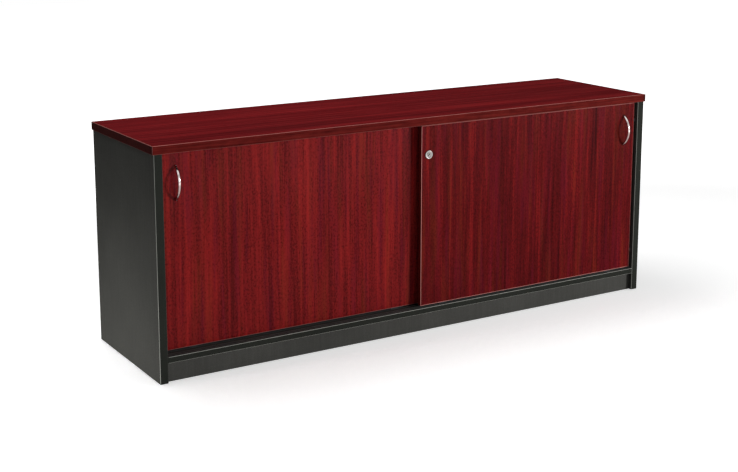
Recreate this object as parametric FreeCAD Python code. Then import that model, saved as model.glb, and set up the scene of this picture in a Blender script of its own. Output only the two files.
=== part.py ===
import FreeCAD, Part
import math
import os
from collections import namedtuple

# An office credenza with two sliding doors that pass each other. Millimetres.
# X runs along its length, the doors face -Y and Z is up. The origin is on the floor,
# at the middle of the rectangle that the credenza covers with its handles.

Vec = FreeCAD.Vector
X = Vec(1, 0, 0)
Y = Vec(0, 1, 0)
Z = Vec(0, 0, 1)

# Overall
top_width = 1800.0
top_depth = 470.0
overall_height = 690.0

# Boards
top_thickness = 25.0
side_thickness = 25.0
bottom_thickness = 18.0
divider_thickness = 18.0
shelf_thickness = 18.0
kick_thickness = 18.0
back_thickness = 16.0
door_thickness = 16.0

# Edging glued to the boards, and the radius on its corners
top_edging = 2.0
carcass_edging = 2.0
inner_edging = 1.0
door_edging = 1.5
top_edging_radius = 1.5
carcass_edging_radius = 1.5
inner_edging_radius = 0.6
door_edging_radius = 1.0

# Where the boards stand
top_side_overhang = 5.0
top_front_overhang = 3.0
bottom_underside = 62.0
kick_recess = 15.0
kick_floor_gap = 2.0
glide_height = 3.0
rear_kick_inset = 20.0

# Doors
front_door_setback = 9.0
door_gap = 14.0
door_overlap = 16.0
door_top_gap = 3.0
door_bottom_gap = 6.0
buffer_length = 8.0
buffer_diameter = 14.0
buffer_inset = 60.0
buffer_edge_radius = 1.0
divider_clearance = 8.0

# Fits
seat_gap = 0.3
running_fit = 0.05
thread_fit = 0.05
drill_fit = 0.1

# Shelves and the pins that carry them
shelf_side_gap = 1.0
shelf_setback = 15.0
shelf_back_gap = 5.0
pin_diameter = 5.0
pin_depth = 8.0
pin_head = 8.0
pin_head_width = 9.0
pin_head_height = 6.0
pin_head_radius = 0.6
pin_inset = 45.0
pin_pitch = 32.0
pin_rows_each_way = 3

# Tracks: channels sunk into the bottom and into the underside of the top
track_wall = 1.5
track_floor = 1.5
track_lip = 3.0
track_lip_thickness = 1.0
lower_track_width = 9.0
lower_track_depth = 6.0
upper_track_width = 7.5
upper_track_depth = 10.0

# Rollers under the doors
roller_inset = 90.0
wheel_diameter = 26.0
wheel_side_gap = 0.4
wheel_rim = 3.0
wheel_hub_diameter = 8.0
wheel_web_recess = 1.0
wheel_edge_radius = 0.8
axle_diameter = 3.0
housing_width = 10.0
housing_wall = 1.4
housing_end = 5.0
housing_roof = 2.0
housing_wheel_gap = 1.0
flange_thickness = 1.5
flange_reach = 6.0
flange_side = 1.5

# Spring-loaded guides in the tops of the doors
guide_inset = 100.0
sleeve_diameter = 11.0
sleeve_bore = 8.2
sleeve_length = 42.0
sleeve_lip = 2.0
sleeve_end = 2.0
guide_pin_diameter = 6.5
guide_pin_fit = 0.1
guide_engagement = 7.0
guide_dome = 1.5
collar_diameter = 8.0
collar_length = 6.0
peg_diameter = 4.0
peg_length = 4.0
guide_travel = 10.0
tab_diameter = 3.0
tab_reach = 3.0
tab_slot_gap = 0.3
spring_wire = 0.8
spring_diameter = 7.2
spring_turns = 6

# Bow handles
handle_projection = 30.0
handle_length = 106.0
handle_screw_inset = 5.0
handle_width = 9.0
handle_thickness = 5.0
handle_foot = 9.5
handle_edge_radius = 1.8
handle_inset = 46.0
handle_below_top = 90.0
handle_screw_diameter = 4.0
handle_screw_hole = 4.5
handle_screw_grip = 5.0
screw_head_diameter = 8.5
screw_head_height = 2.4
screw_head_radius = 1.0

# Lock in the front door, and the keeper on the rear door that its cam turns behind
lock_inset = 26.5
lock_below_top = 92.0
rosette_diameter = 28.0
rosette_thickness = 2.5
rosette_radius = 1.2
barrel_diameter = 19.0
barrel_hole = 19.2
plug_diameter = 13.0
neck_diameter = 9.0
barrel_end = 2.0
nut_width = 24.0
nut_thickness = 5.0
cam_thickness = 2.0
cam_reach = 28.0
cam_width = 12.0
cam_hub_diameter = 17.0
cam_square = 6.0
cam_gap = 0.5
cam_screw_diameter = 4.0
cam_screw_length = 8.0
cam_screw_head = 9.0
cam_screw_head_height = 2.0
keyway_width = 2.0
keyway_length = 8.5
keyway_depth = 12.0
keyway_angle = 45.0
keeper_play = 1.5
keeper_base = 3.0
keeper_tongue_depth = 12.0
keeper_tongue_height = 20.0
keeper_plate_height = 36.0
keeper_clearance = 1.0
keeper_cam_gap = 9.0
keeper_screw_diameter = 3.5
keeper_screw_length = 22.0
keeper_screw_head = 7.0
keeper_screw_inset = 9.0

# Knock-down fittings between the boards
cam_lock_diameter = 15.0
cam_lock_depth = 13.0
cam_lock_inset = 34.0
cam_lock_slot = 1.5
cam_lock_slot_end = 1.5
cam_lock_slot_depth = 2.0
cam_bolt_diameter = 5.0
cam_bolt_head = 7.0
cam_bolt_head_length = 3.0
cam_bolt_grip = 11.0
cam_bolt_bore = 8.0
cam_head_gap = 2.0
dowel_diameter = 8.0
dowel_length = 24.0
dowel_drill_spare = 1.0
fitting_front_inset = 110.0
fitting_back_inset = 80.0
dowel_step = 40.0
confirmat_diameter = 6.0
confirmat_length = 48.0
confirmat_head_diameter = 10.0
confirmat_head_height = 3.0

# Glides under the sides
glide_diameter = 20.0
glide_inset = 40.0
glide_nail_diameter = 2.5
glide_nail_length = 14.0
glide_edge_radius = 1.0

# Worked out from the sizes above: heights
under_top = overall_height - top_thickness
floor_of_cabinet = bottom_underside + bottom_thickness
door_bottom = floor_of_cabinet + door_bottom_gap
door_top = under_top - door_top_gap
shelf_underside = (floor_of_cabinet + under_top - shelf_thickness) / 2
shelf_top = shelf_underside + shelf_thickness
handle_height = door_top - handle_below_top
handle_screw_spacing = handle_length - 2 * handle_screw_inset
lock_height = door_top - lock_below_top

# Lengths along X, from the middle
carcass_half = top_width / 2 - top_side_overhang
inner_half = carcass_half - side_thickness
divider_half = divider_thickness / 2
door_outer = inner_half - buffer_length - seat_gap
door_inner = door_overlap / 2

# Depths along Y, from the front to the back
handle_proud = max(handle_projection - front_door_setback - top_front_overhang, 0)
top_front = (handle_proud - top_depth) / 2
back_face = top_front + top_depth
carcass_front = top_front + top_front_overhang
front_door_face = carcass_front + front_door_setback
rear_door_face = front_door_face + door_thickness + door_gap
divider_front = rear_door_face + door_thickness + divider_clearance
shelf_front = divider_front + shelf_setback
back_front = back_face - back_thickness
shelf_back = back_front - shelf_back_gap
kick_front = carcass_front + kick_recess
rear_kick_front = back_face - rear_kick_inset - kick_thickness

# Rollers and guides
rail_top = floor_of_cabinet - lower_track_depth + track_floor
wheel_radius = wheel_diameter / 2
axle_height = rail_top + seat_gap + wheel_radius
wheel_width = housing_width - 2 * housing_wall - 2 * wheel_side_gap
housing_half = wheel_radius + housing_wheel_gap + housing_end
slot_top = axle_height + wheel_radius + housing_wheel_gap
housing_top = slot_top + housing_roof
collar_top = door_top - sleeve_lip - seat_gap
collar_bottom = collar_top - collar_length
tab_height = (collar_top + collar_bottom) / 2
sleeve_bottom = door_top - sleeve_length

# Lock
lock_x = lock_inset - door_inner
front_door_back = front_door_face + door_thickness
nut_back = front_door_back + nut_thickness
cam_front = nut_back + cam_gap
keeper_bottom = lock_height + nut_width / 2 / math.cos(math.pi / 6) + keeper_clearance

Door = namedtuple("Door", "name x_low x_high face outer")
left_door = Door("left", -door_outer, door_inner, rear_door_face, -1)
right_door = Door("right", -door_inner, door_outer, front_door_face, 1)


def block(x, y, z):
    """A box between two limits on each axis."""
    corner = Vec(min(x), min(y), min(z))
    return Part.makeBox(abs(x[1] - x[0]), abs(y[1] - y[0]), abs(z[1] - z[0]), corner)


def around(middle, width):
    """The two limits of a width that is centred on a value."""
    return middle - width / 2, middle + width / 2


def rod(start, axis, diameter, length):
    """A round bar, or the drill that makes room for one."""
    return Part.makeCylinder(diameter / 2, length, start, axis)


def group(solids):
    """Separate solids that share one node."""
    return Part.makeCompound(solids)


def runs_along(edge, axis):
    """Is this edge straight and parallel to the axis?"""
    if len(edge.Vertexes) < 2:
        return False
    run = edge.Vertexes[1].Point - edge.Vertexes[0].Point
    return abs(run.dot(axis)) > 0.999 * edge.Length


def strip(x, y, z, along, outward, radius, round_ends=False):
    """A strip of edging with the long corners of its outer side rounded, and its end corners on request."""
    bar = block(x, y, z)
    reach = max(v.Point.dot(outward) for v in bar.Vertexes)
    outer = [e for e in bar.Edges if all(reach - v.Point.dot(outward) < radius / 2 for v in e.Vertexes)]
    chosen = [e for e in outer if round_ends or runs_along(e, along)]
    return bar.makeFillet(radius, chosen)


# Fittings between the boards


def fitting_depths():
    """How far back the cam fittings stand in the boards that run from front to back."""
    return carcass_front + fitting_front_inset, back_face - fitting_back_inset


def dowel_places():
    """The middle and the axis of each dowel."""
    front, back = fitting_depths()
    rows = front + dowel_step, back - dowel_step
    places = []
    for side in (-1, 1):
        wall = side * inner_half
        places += [(Vec(side * (inner_half + side_thickness / 2), y, under_top), Z) for y in rows]
        places += [(Vec(wall, y, bottom_underside + bottom_thickness / 2), X) for y in rows]
        places += [(Vec(wall, kick_front + kick_thickness / 2, bottom_underside / 2), X)]
        places += [(Vec(wall, rear_kick_front + kick_thickness / 2, bottom_underside / 2), X)]
        for share in (1 / 4, 3 / 4):
            height = floor_of_cabinet + share * (under_top - floor_of_cabinet)
            places += [(Vec(wall, back_face - back_thickness / 2, height), X)]
    places += [(Vec(0, y, height), Z) for y in rows for height in (floor_of_cabinet, under_top)]
    brace_ends = kick_front + kick_thickness, rear_kick_front
    places += [(Vec(0, y, bottom_underside / 2), Y) for y in brace_ends]
    return places


def dowels():
    return [rod(p - a * dowel_length / 2, a, dowel_diameter, dowel_length) for p, a in dowel_places()]


def dowel_drills():
    length = dowel_length + dowel_drill_spare
    return [rod(p - a * length / 2, a, dowel_diameter + drill_fit, length) for p, a in dowel_places()]


CamPlace = namedtuple("CamPlace", "mouth inward towards")


def cam_places():
    """Each cam lock: the middle of its mouth, the way it is sunk in and the way its bolt points."""
    places = []
    for y in fitting_depths():
        for side in (-1, 1):
            high = Vec(side * inner_half, y, under_top - cam_lock_inset)
            places.append(CamPlace(high, X * side, Z))
            low = Vec(side * (inner_half - cam_lock_inset), y, bottom_underside)
            places.append(CamPlace(low, Z, X * side))
        places.append(CamPlace(Vec(divider_half, y, under_top - cam_lock_inset), X * -1, Z))
    return places


def bolt_line(place):
    """The point inside a cam lock that its bolt's axis starts from."""
    return place.mouth + place.inward * (cam_lock_depth / 2 + cam_lock_slot_depth / 2)


def cam_lock(place):
    """A cam lock: a round nut with a driver slot and a side bore that takes the head of the bolt."""
    body = rod(place.mouth, place.inward, cam_lock_diameter, cam_lock_depth)
    across = place.inward.cross(place.towards)
    half_length = cam_lock_diameter / 2 - cam_lock_slot_end
    half_width = cam_lock_slot / 2
    corners = [
        place.mouth + place.towards * (i * half_width) + across * (j * half_length)
        for i, j in ((-1, -1), (1, -1), (1, 1), (-1, 1), (-1, -1))
    ]
    slot = Part.Face(Part.makePolygon(corners)).extrude(place.inward * cam_lock_slot_depth)
    side_bore = rod(bolt_line(place), place.towards, cam_bolt_head + 2 * drill_fit, cam_lock_diameter)
    return body.cut([slot, side_bore])


def cam_bolt(place):
    """The bolt of a cam lock: a head inside the lock and a shank screwed into the other board."""
    start = bolt_line(place) + place.towards * cam_head_gap
    head = rod(start, place.towards, cam_bolt_head, cam_bolt_head_length)
    shank_length = cam_lock_inset - cam_head_gap + cam_bolt_grip
    return head.fuse(rod(start, place.towards, cam_bolt_diameter, shank_length)).removeSplitter()


def cam_drills(place):
    """The mouth of a cam lock, the bore of its bolt up to the joint and the screw hole beyond."""
    mouth = rod(place.mouth, place.inward, cam_lock_diameter + drill_fit, cam_lock_depth + drill_fit)
    bore = rod(bolt_line(place), place.towards, cam_bolt_bore, cam_lock_inset)
    grip = cam_lock_inset + cam_bolt_grip + drill_fit
    return [mouth, bore, rod(bolt_line(place), place.towards, cam_bolt_diameter + 2 * thread_fit, grip)]


def confirmat_places():
    """Head and direction of each wood screw that holds the divider to the back and to the bottom."""
    places = []
    for share in (1 / 6, 1 / 2, 5 / 6):
        height = floor_of_cabinet + share * (under_top - floor_of_cabinet)
        places.append((Vec(0, back_face, height), Y * -1))
    return places + [(Vec(0, y, bottom_underside), Z) for y in fitting_depths()]


def confirmat(start, axis, spare):
    """A wood screw with a flat head sunk flush, or with spare added all round the hole that it needs."""
    head = rod(start, axis, confirmat_head_diameter + 2 * spare, confirmat_head_height)
    shank = rod(start, axis, confirmat_diameter + 2 * spare, confirmat_length + spare)
    return head.fuse(shank).removeSplitter()


def board_drills():
    """Every hole that the fittings need. Each board is cut by those that reach it."""
    drills = dowel_drills()
    for place in cam_places():
        drills += cam_drills(place)
    drills += [confirmat(start, axis, thread_fit) for start, axis in confirmat_places()]
    return drills


def drilled(board, drills):
    """The board with the holes that reach it."""
    near = [d for d in drills if d.BoundBox.intersect(board.BoundBox)]
    return board.cut(near).removeSplitter() if near else board


# The top


def top_core():
    x = (-top_width / 2 + top_edging, top_width / 2 - top_edging)
    y = (top_front + top_edging, back_face - top_edging)
    grooves = []
    for door in (left_door, right_door):
        width = upper_track_width + 2 * track_wall
        y_groove = around(door.face + door_thickness / 2, width)
        grooves.append(block((-inner_half, inner_half), y_groove, (under_top, under_top + upper_track_depth)))
    return block(x, y, (under_top, overall_height)).cut(grooves)


def top_edges():
    half = top_width / 2
    z = (under_top, overall_height)
    y_side = (top_front + top_edging, back_face - top_edging)
    front = (top_front, top_front + top_edging)
    back = (back_face - top_edging, back_face)
    return [
        strip((-half, half), front, z, X, Y * -1, top_edging_radius, round_ends=True),
        strip((-half, half), back, z, X, Y, top_edging_radius, round_ends=True),
        strip((-half, -half + top_edging), y_side, z, Y, X * -1, top_edging_radius),
        strip((half - top_edging, half), y_side, z, Y, X, top_edging_radius),
    ]


# The carcass


def side_limits(side):
    return side * inner_half, side * carcass_half


def shelf_pin_places():
    """Mouth and outward direction of every pin hole, row by row, and the pins in use on the shelf's row."""
    holes = []
    for face, outward in ((inner_half, X), (divider_half, X * -1), (-divider_half, X), (-inner_half, X * -1)):
        for y in (shelf_front + pin_inset, shelf_back - pin_inset):
            for row in range(-pin_rows_each_way, pin_rows_each_way + 1):
                height = shelf_underside - pin_diameter / 2 + row * pin_pitch
                holes.append((Vec(face, y, height), outward, row))
    return holes


def pin_drills():
    deep = pin_depth + drill_fit
    return [rod(p, out, pin_diameter + drill_fit, deep) for p, out, row in shelf_pin_places()]


def glide_places():
    depths = carcass_front + glide_inset, back_face - glide_inset
    middle = inner_half + side_thickness / 2
    return [Vec(side * middle, y, 0) for side in (-1, 1) for y in depths]


def glide(place):
    """A round glide with the nail that holds it."""
    foot = rod(place, Z, glide_diameter, glide_height)
    rim = [e for e in foot.Edges if len(e.Vertexes) == 1 and e.CenterOfMass.z < glide_height / 2]
    foot = foot.makeFillet(glide_edge_radius, rim)
    return foot.fuse(rod(place + Z * glide_height, Z, glide_nail_diameter, glide_nail_length))


def glide_drills():
    start = Z * glide_height
    deep = glide_nail_length + drill_fit
    return [rod(p + start, Z, glide_nail_diameter + drill_fit, deep) for p in glide_places()]


def side_panel(side):
    y = (carcass_front + carcass_edging, back_face)
    return block(side_limits(side), y, (glide_height, under_top)).cut(glide_drills())


def side_edges():
    y = (carcass_front, carcass_front + carcass_edging)
    z = (glide_height, under_top)
    return [strip(side_limits(s), y, z, Z, Y * -1, carcass_edging_radius) for s in (-1, 1)]


def bottom_panel():
    y = (carcass_front + carcass_edging, back_face)
    board = block((-inner_half, inner_half), y, (bottom_underside, floor_of_cabinet))
    grooves = []
    for door in (left_door, right_door):
        width = lower_track_width + 2 * track_wall
        y_groove = around(door.face + door_thickness / 2, width)
        z_groove = (floor_of_cabinet - lower_track_depth, floor_of_cabinet)
        grooves.append(block((-inner_half, inner_half), y_groove, z_groove))
    return board.cut(grooves)


def bottom_edge():
    y = (carcass_front, carcass_front + carcass_edging)
    z = (bottom_underside, floor_of_cabinet)
    return strip((-inner_half, inner_half), y, z, X, Y * -1, carcass_edging_radius)


def kick_board():
    y = (kick_front, kick_front + kick_thickness)
    return block((-inner_half, inner_half), y, (kick_floor_gap, bottom_underside))


def rear_kick_board():
    y = (rear_kick_front, rear_kick_front + kick_thickness)
    return block((-inner_half, inner_half), y, (kick_floor_gap, bottom_underside))


def plinth_brace():
    y = (kick_front + kick_thickness, rear_kick_front)
    return block(around(0, kick_thickness), y, (kick_floor_gap, bottom_underside))


def back_panel():
    return block((-inner_half, inner_half), (back_front, back_face), (floor_of_cabinet, under_top))


def centre_divider():
    y = (divider_front + inner_edging, back_front)
    return block(around(0, divider_thickness), y, (floor_of_cabinet, under_top))


def shelf_limits(side):
    return side * (divider_half + shelf_side_gap), side * (inner_half - shelf_side_gap)


def shelf(side):
    y = (shelf_front + inner_edging, shelf_back)
    return block(shelf_limits(side), y, (shelf_underside, shelf_top))


def inner_edges():
    y = (divider_front, divider_front + inner_edging)
    z = (floor_of_cabinet, under_top)
    divider = strip(around(0, divider_thickness), y, z, Z, Y * -1, inner_edging_radius)
    y = (shelf_front, shelf_front + inner_edging)
    z = (shelf_underside, shelf_top)
    return [divider] + [strip(shelf_limits(s), y, z, X, Y * -1, inner_edging_radius) for s in (-1, 1)]


def shelf_pin(mouth, outward):
    """A pin in its hole, with a flat-topped head that the shelf lies on."""
    shank = rod(mouth, outward, pin_diameter, pin_depth)
    tip = mouth - outward * pin_head
    z = (shelf_underside - pin_head_height, shelf_underside)
    head = block((mouth.x, tip.x), around(mouth.y, pin_head_width), z)
    low = [e for e in head.Edges if e.CenterOfMass.z < z[0] + seat_gap]
    return head.makeFillet(pin_head_radius, low).fuse(shank).removeSplitter()


def shelf_pins():
    return [shelf_pin(p, out) for p, out, row in shelf_pin_places() if row == 0]


def track(door, surface, inward, width, depth):
    """A channel under or over a door. inward is 1 where it is sunk upwards and -1 downwards."""
    x = (-inner_half, inner_half)
    middle = door.face + door_thickness / 2
    lip_face = surface - inward * track_lip_thickness
    body = block(x, around(middle, width + 2 * track_wall), (surface, surface + inward * depth))
    lips = block(x, around(middle, width + 2 * track_wall + 2 * track_lip), (lip_face, surface))
    hollow = block(x, around(middle, width), (lip_face, surface + inward * (depth - track_floor)))
    return body.fuse(lips).cut(hollow).removeSplitter()


def upper_track(door):
    return track(door, under_top, 1, upper_track_width, upper_track_depth)


def lower_track(door):
    return track(door, floor_of_cabinet, -1, lower_track_width, lower_track_depth)


def door_buffers():
    """Two rubber buffers on each side of the carcass, where the door on that side comes to rest."""
    solids = []
    for door in (left_door, right_door):
        for height in (door_bottom + buffer_inset, door_top - buffer_inset):
            start = Vec(door.outer * inner_half, door.face + door_thickness / 2, height)
            stud = rod(start, X * -door.outer, buffer_diameter, buffer_length)
            tip = start.x - door.outer * buffer_length
            rim = [e for e in stud.Edges if abs(e.CenterOfMass.x - tip) < seat_gap]
            solids.append(stud.makeFillet(buffer_edge_radius, rim))
    return solids


# The doors


def inset_places(door, inset):
    """Two places along a door, the one near its outer end first."""
    ends = (door.x_low + inset, door.x_high - inset)
    return ends if door.outer < 0 else ends[::-1]


def handle_x(door):
    return (door.x_high if door.outer > 0 else door.x_low) - door.outer * handle_inset


def handle_screw_heights():
    return around(handle_height, handle_screw_spacing)


def tab_slot(door, x):
    """The slot in the back of a door and of its guide sleeve that the tab of the guide pin moves in."""
    width = tab_diameter + 2 * tab_slot_gap
    low = tab_height - guide_travel
    y = (door.face + door_thickness / 2, door.face + door_thickness)
    ends = [rod(Vec(x, y[0], z), Y, width, door_thickness / 2) for z in (low, tab_height)]
    return block(around(x, width), y, (low, tab_height)).fuse(ends)


def keeper_screw_places():
    """Where the screws of the keeper enter the inner edge of the rear door."""
    y = rear_door_face + door_thickness * 2 / 3
    heights = keeper_bottom + keeper_screw_inset, keeper_bottom + keeper_plate_height - keeper_screw_inset
    return [Vec(door_inner + keeper_base, y, z) for z in heights]


def keeper_screw(place, spare):
    """A countersunk wood screw, or with spare the hole that it needs."""
    head_height = (keeper_screw_head - keeper_screw_diameter) / 2
    head = Part.makeCone(
        keeper_screw_head / 2 + spare, keeper_screw_diameter / 2 + spare, head_height, place, X * -1
    )
    shank = rod(place, X * -1, keeper_screw_diameter + 2 * spare, keeper_screw_length + spare)
    return head.fuse(shank).removeSplitter()


def door_cuts(door):
    """Everything that is cut out of a door and its edging."""
    middle = door.face + door_thickness / 2
    cuts = []
    for x in inset_places(door, roller_inset):
        y = around(middle, housing_width)
        cuts.append(block(around(x, 2 * housing_half), y, (door_bottom, housing_top)))
    for x in inset_places(door, guide_inset):
        cuts.append(rod(Vec(x, middle, sleeve_bottom), Z, sleeve_diameter, sleeve_length))
        cuts.append(tab_slot(door, x))
    for z in handle_screw_heights():
        cuts.append(rod(Vec(handle_x(door), door.face, z), Y, handle_screw_hole, door_thickness))
    if door is right_door:
        cuts.append(rod(Vec(lock_x, door.face, lock_height), Y, barrel_hole, door_thickness))
    else:
        cuts += [keeper_screw(p, thread_fit) for p in keeper_screw_places()]
    return cuts


def door_panel(door):
    x = (door.x_low + door_edging, door.x_high - door_edging)
    z = (door_bottom + door_edging, door_top - door_edging)
    board = block(x, (door.face, door.face + door_thickness), z)
    return board.cut(door_cuts(door)).removeSplitter()


def door_edges(door):
    y = (door.face, door.face + door_thickness)
    x = (door.x_low, door.x_high)
    z = (door_bottom + door_edging, door_top - door_edging)
    low = (door_bottom, door_bottom + door_edging)
    high = (door_top - door_edging, door_top)
    strips = [
        strip(x, y, low, X, Z * -1, door_edging_radius, round_ends=True),
        strip(x, y, high, X, Z, door_edging_radius, round_ends=True),
        strip((x[0], x[0] + door_edging), y, z, Z, X * -1, door_edging_radius),
        strip((x[1] - door_edging, x[1]), y, z, Z, X, door_edging_radius),
    ]
    cuts = door_cuts(door)
    return [s.cut(cuts) for s in strips]


def arc_through(start, middle, end):
    return Part.Arc(start, middle, end).toShape()


def handle(door):
    """A bow handle: a crescent strap, thin in the middle, with a screw hole in each wide foot."""
    low = handle_x(door) - handle_width / 2
    half = handle_length / 2

    def point(out, up):
        return Vec(low, door.face - out, handle_height + up)

    outer = arc_through(point(0, -half), point(handle_projection, 0), point(0, half))
    reach = handle_projection - handle_thickness
    inner_half_length = half - handle_foot
    inner = arc_through(point(0, inner_half_length), point(reach, 0), point(0, -inner_half_length))
    feet = [
        Part.makeLine(point(0, half), point(0, inner_half_length)),
        Part.makeLine(point(0, -inner_half_length), point(0, -half)),
    ]
    profile = Part.Face(Part.Wire([outer, feet[0], inner, feet[1]]))
    bow = profile.extrude(X * handle_width)
    curved = [e for e in bow.Edges if e.Curve.TypeId == "Part::GeomCircle"]
    bow = bow.makeFillet(handle_edge_radius, curved)
    hole = handle_screw_diameter + 2 * thread_fit
    bores = [
        rod(Vec(handle_x(door), door.face, z), Y * -1, hole, handle_screw_grip + drill_fit)
        for z in handle_screw_heights()
    ]
    return bow.cut(bores)


def handle_screws(door):
    """Machine screws through the door from its back, with domed heads."""
    screws = []
    back = door.face + door_thickness
    for z in handle_screw_heights():
        start = Vec(handle_x(door), back, z)
        head = rod(start, Y, screw_head_diameter, screw_head_height)
        rim = [e for e in head.Edges if abs(e.CenterOfMass.y - back - screw_head_height) < seat_gap]
        head = head.makeFillet(screw_head_radius, rim)
        shank = rod(start, Y * -1, handle_screw_diameter, door_thickness + handle_screw_grip)
        screws.append(head.fuse(shank))
    return screws


def roller_housing(door, x):
    """A housing let into the bottom edge of a door, open below, with a flange under the edge."""
    middle = door.face + door_thickness / 2
    body = block(around(x, 2 * housing_half), around(middle, housing_width), (door_bottom, housing_top))
    flange = block(
        around(x, 2 * housing_half + 2 * flange_reach),
        around(middle, housing_width + 2 * flange_side),
        (door_bottom - flange_thickness, door_bottom),
    )
    slot_length = 2 * (wheel_radius + housing_wheel_gap)
    slot_width = housing_width - 2 * housing_wall
    z_slot = (door_bottom - flange_thickness, slot_top)
    slot = block(around(x, slot_length), around(middle, slot_width), z_slot)
    axle_hole = rod(Vec(x, middle - housing_width / 2, axle_height), Y, axle_diameter, housing_width)
    return body.fuse(flange).removeSplitter().cut([slot, axle_hole])


def roller_axle(door, x):
    start = Vec(x, door.face + door_thickness / 2 - housing_width / 2, axle_height)
    return rod(start, Y, axle_diameter, housing_width)


def wheel(door, x):
    """A wheel with a rounded tread, a hub and a recessed web, turning on its axle."""
    near = door.face + door_thickness / 2 - wheel_width / 2
    start = Vec(x, near, axle_height)
    disc = rod(start, Y, wheel_diameter, wheel_width)
    disc = disc.makeFillet(wheel_edge_radius, [e for e in disc.Edges if not runs_along(e, Y)])
    cuts = [rod(start, Y, axle_diameter + 2 * running_fit, wheel_width)]
    for side in (0, wheel_width - wheel_web_recess):
        face = start + Y * side
        ring = rod(face, Y, wheel_diameter - 2 * wheel_rim, wheel_web_recess)
        cuts.append(ring.cut(rod(face, Y, wheel_hub_diameter, wheel_web_recess)))
    return disc.cut(cuts)


def guide_sleeve(door, x):
    """The sleeve of a top guide, with a lip that holds the pin in and a closed lower end."""
    base = Vec(x, door.face + door_thickness / 2, sleeve_bottom)
    sleeve = rod(base, Z, sleeve_diameter, sleeve_length)
    bore = rod(base + Z * sleeve_end, Z, sleeve_bore, sleeve_length - sleeve_end - sleeve_lip)
    mouth = rod(base + Z * sleeve_end, Z, guide_pin_diameter + 2 * guide_pin_fit, sleeve_length)
    return sleeve.cut([bore, mouth, tab_slot(door, x)])


def guide_pin(door, x):
    """The pin that runs in the upper track, with a collar and a tab to pull it down by."""
    middle = door.face + door_thickness / 2
    top = under_top + guide_engagement
    shaft = rod(Vec(x, middle, collar_bottom), Z, guide_pin_diameter, top - collar_bottom)
    tip = [e for e in shaft.Edges if e.CenterOfMass.z > top - seat_gap]
    shaft = shaft.makeFillet(guide_dome, tip)
    collar = rod(Vec(x, middle, collar_bottom), Z, collar_diameter, collar_length)
    peg = rod(Vec(x, middle, collar_bottom - peg_length), Z, peg_diameter, peg_length)
    tab = rod(Vec(x, middle, tab_height), Y, tab_diameter, door_thickness / 2 + tab_reach)
    return shaft.fuse([collar, peg, tab]).removeSplitter()


def guide_spring(door, x):
    """The coil spring between the sleeve's end and the pin's collar: half turns that tilt to climb."""
    low = sleeve_bottom + sleeve_end + spring_wire / 2
    half_turns = 2 * spring_turns
    rise = (collar_bottom - low - spring_wire / 2) / half_turns
    radius = (spring_diameter - spring_wire) / 2
    centre = Vec(x, door.face + door_thickness / 2, low)
    halves = []
    for i in range(half_turns):
        side = 1 if i % 2 == 0 else -1
        arm = Vec(side * radius, 0, -rise / 2)
        middle = centre + Z * ((i + 1 / 2) * rise)
        section = Part.Face(Part.Wire(Part.makeCircle(spring_wire / 2, middle + arm, Y)))
        halves.append(section.revolve(middle, arm.cross(Y * side), 180))
    return halves[0].fuse(halves[1:])


# The lock


def lock_barrel():
    """The barrel of the lock: a rosette on the door's face and a body through the door and nut."""
    face = front_door_face - rosette_thickness
    centre = Vec(lock_x, face, lock_height)
    rosette = rod(centre, Y, rosette_diameter, rosette_thickness)
    rim = [e for e in rosette.Edges if e.CenterOfMass.y < face + seat_gap]
    rosette = rosette.makeFillet(rosette_radius, rim)
    length = nut_back - face
    body = rosette.fuse(rod(centre, Y, barrel_diameter, length)).removeSplitter()
    bore = rod(centre, Y, plug_diameter + 2 * running_fit, length - barrel_end)
    neck = rod(centre, Y, neck_diameter + 2 * running_fit, length)
    return body.cut([bore, neck])


def lock_nut():
    """The hexagonal nut that holds the barrel from behind the door."""
    corner = nut_width / 2 / math.cos(math.pi / 6)
    turns = [math.radians(60 * i) for i in range(7)]
    centre = Vec(lock_x, front_door_back, lock_height)
    ring = [centre + X * (corner * math.sin(t)) + Z * (corner * math.cos(t)) for t in turns]
    nut = Part.Face(Part.makePolygon(ring)).extrude(Y * nut_thickness)
    return nut.cut(rod(centre, Y, barrel_diameter + 2 * thread_fit, nut_thickness))


def square_post(start, side, length):
    return block(around(lock_x, side), (start, start + length), around(lock_height, side))


def lock_plug():
    """The plug that the key turns, with its keyway in front and a square end for the cam."""
    face = front_door_face - rosette_thickness
    centre = Vec(lock_x, face, lock_height)
    body = rod(centre, Y, plug_diameter, nut_back - barrel_end - running_fit - face)
    neck = rod(centre, Y, neck_diameter, cam_front - face)
    square = square_post(cam_front - seat_gap, cam_square, cam_thickness + seat_gap)
    z_keyway = around(lock_height, keyway_length)
    keyway = block(around(lock_x, keyway_width), (face, face + keyway_depth), z_keyway)
    keyway.rotate(centre, Y, keyway_angle)
    screw_hole = rod(
        Vec(lock_x, cam_front + cam_thickness, lock_height),
        Y * -1,
        cam_screw_diameter + 2 * thread_fit,
        cam_screw_length + thread_fit,
    )
    return body.fuse([neck, square]).removeSplitter().cut([keyway, screw_hole])


def lock_cam():
    """The cam: a flat arm that lies along the door when unlocked and turns up behind the keeper."""
    centre = Vec(lock_x, cam_front, lock_height)
    hub = rod(centre, Y, cam_hub_diameter, cam_thickness)
    arm_length = cam_reach - cam_width / 2
    z = around(lock_height, cam_width)
    arm = block((lock_x, lock_x + arm_length), (cam_front, cam_front + cam_thickness), z)
    tip = rod(centre + X * arm_length, Y, cam_width, cam_thickness)
    hole = square_post(cam_front, cam_square + 2 * running_fit, cam_thickness)
    return hub.fuse([arm, tip]).removeSplitter().cut(hole)


def cam_screw():
    start = Vec(lock_x, cam_front + cam_thickness, lock_height)
    head = rod(start, Y, cam_screw_head, cam_screw_head_height)
    return head.fuse(rod(start, Y * -1, cam_screw_diameter, cam_screw_length))


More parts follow.
